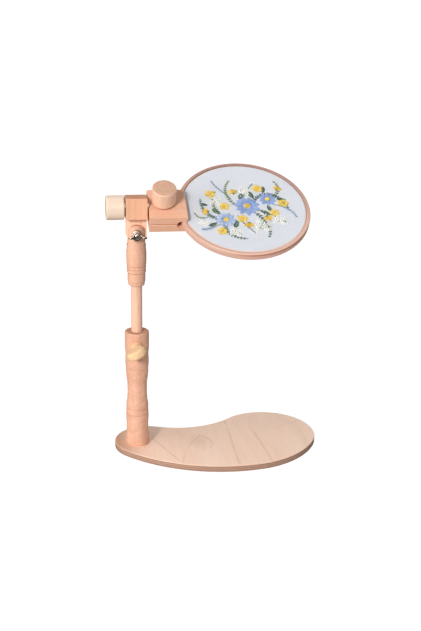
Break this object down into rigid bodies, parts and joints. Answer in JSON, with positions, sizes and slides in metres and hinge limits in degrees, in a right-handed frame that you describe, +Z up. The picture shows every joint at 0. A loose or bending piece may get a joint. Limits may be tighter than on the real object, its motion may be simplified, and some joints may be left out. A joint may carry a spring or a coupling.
{
  "type": "embroidery hoop stand",
  "caption": "Wooden table stand that holds a round embroidery hoop: a flat curved base, a turned column with a height slide, a tilting elbow and swivelling clamp jaws.",
  "frame": {"origin": "on the column's axis, at the underside of the base", "axes": "+Z up along the column, +X along the arm towards the hoop, -Y towards the front where the wing nut is"},
  "size_m": [0.2798, 0.1615, 0.3668],
  "materials": {
    "plywood": "sanded plywood with a pale veneer face and a darker laminated edge",
    "beech": "sanded and lightly oiled beech",
    "pale_beech": "sanded pale beech",
    "maple": "sanded yellowish maple",
    "steel": "zinc-plated steel, slightly dull",
    "brass": "machined brass",
    "cloth": "plain-woven cotton, stretched"
  },
  "bodies": {
    "stand": {"base_plate": "plywood", "base_screws": "steel", "lower_column": "beech"},
    "thumb": {"thumb_screw": "maple"},
    "mast": {"dowel_rod": "beech"},
    "handle": {"upper_handle": "beech", "elbow_bolt": "steel", "elbow_washer": "steel"},
    "elbow_nut": {"wing_nut": "steel"},
    "head": {"head_block": "beech", "swivel_washer": "steel", "jaw_washer": "steel"},
    "swivel": {"swivel_knob": "pale_beech", "swivel_insert": "brass", "swivel_screw": "steel"},
    "jaws": {"upper_jaw": "beech", "jaw_insert": "brass", "clamp_washer": "steel"},
    "clamp": {"clamp_knob": "beech", "clamp_insert": "brass"},
    "loose_jaw": {"lower_jaw": "beech", "clamp_bolt": "steel"},
    "hoop": {"outer_hoop": "beech", "inner_hoop": "beech", "fabric": "cloth"}
  },
  "joints": [
    {"name": "thumb_screw_turn", "type": "hinge", "parent": "stand", "child": "thumb", "pos_m": [0, 0, 0.1475], "axis": [-0.0958, -0.9954, 0], "range_deg": [0, 360]},
    {"name": "height_slide", "type": "slide", "parent": "stand", "child": "mast", "axis": [0, 0, 1], "range_m": [-0.055, 0.055]},
    {"name": "mast_turn", "type": "hinge", "parent": "mast", "child": "handle", "pos_m": [0, 0, 0.24], "axis": [0, 0, 1], "continuous": true},
    {"name": "wing_nut_turn", "type": "hinge", "parent": "handle", "child": "elbow_nut", "pos_m": [0, -0.0155, 0.2935], "axis": [0, -1, 0], "continuous": true},
    {"name": "elbow_tilt", "type": "hinge", "parent": "handle", "child": "head", "pos_m": [0, 0, 0.2935], "axis": [0, 1, 0], "range_deg": [-90, 20]},
    {"name": "swivel_knob_turn", "type": "hinge", "parent": "head", "child": "swivel", "pos_m": [-0.02, 0, 0.326], "axis": [-1, 0, 0], "continuous": true},
    {"name": "head_swivel", "type": "hinge", "parent": "head", "child": "jaws", "pos_m": [0.02, 0, 0.326], "axis": [1, 0, 0], "continuous": true},
    {"name": "clamp_knob_turn", "type": "hinge", "parent": "jaws", "child": "clamp", "pos_m": [0.0335, -0.00594, 0.33992], "axis": [0, -0.5105, 0.8599], "continuous": true},
    {"name": "jaw_open", "type": "slide", "parent": "jaws", "child": "loose_jaw", "axis": [0, 0.5105, -0.8599], "range_m": [0, 0.005]},
    {"name": "hoop_release", "type": "slide", "parent": "jaws", "child": "hoop", "axis": [1, 0, 0], "range_m": [0, 0.08]}
  ]
}
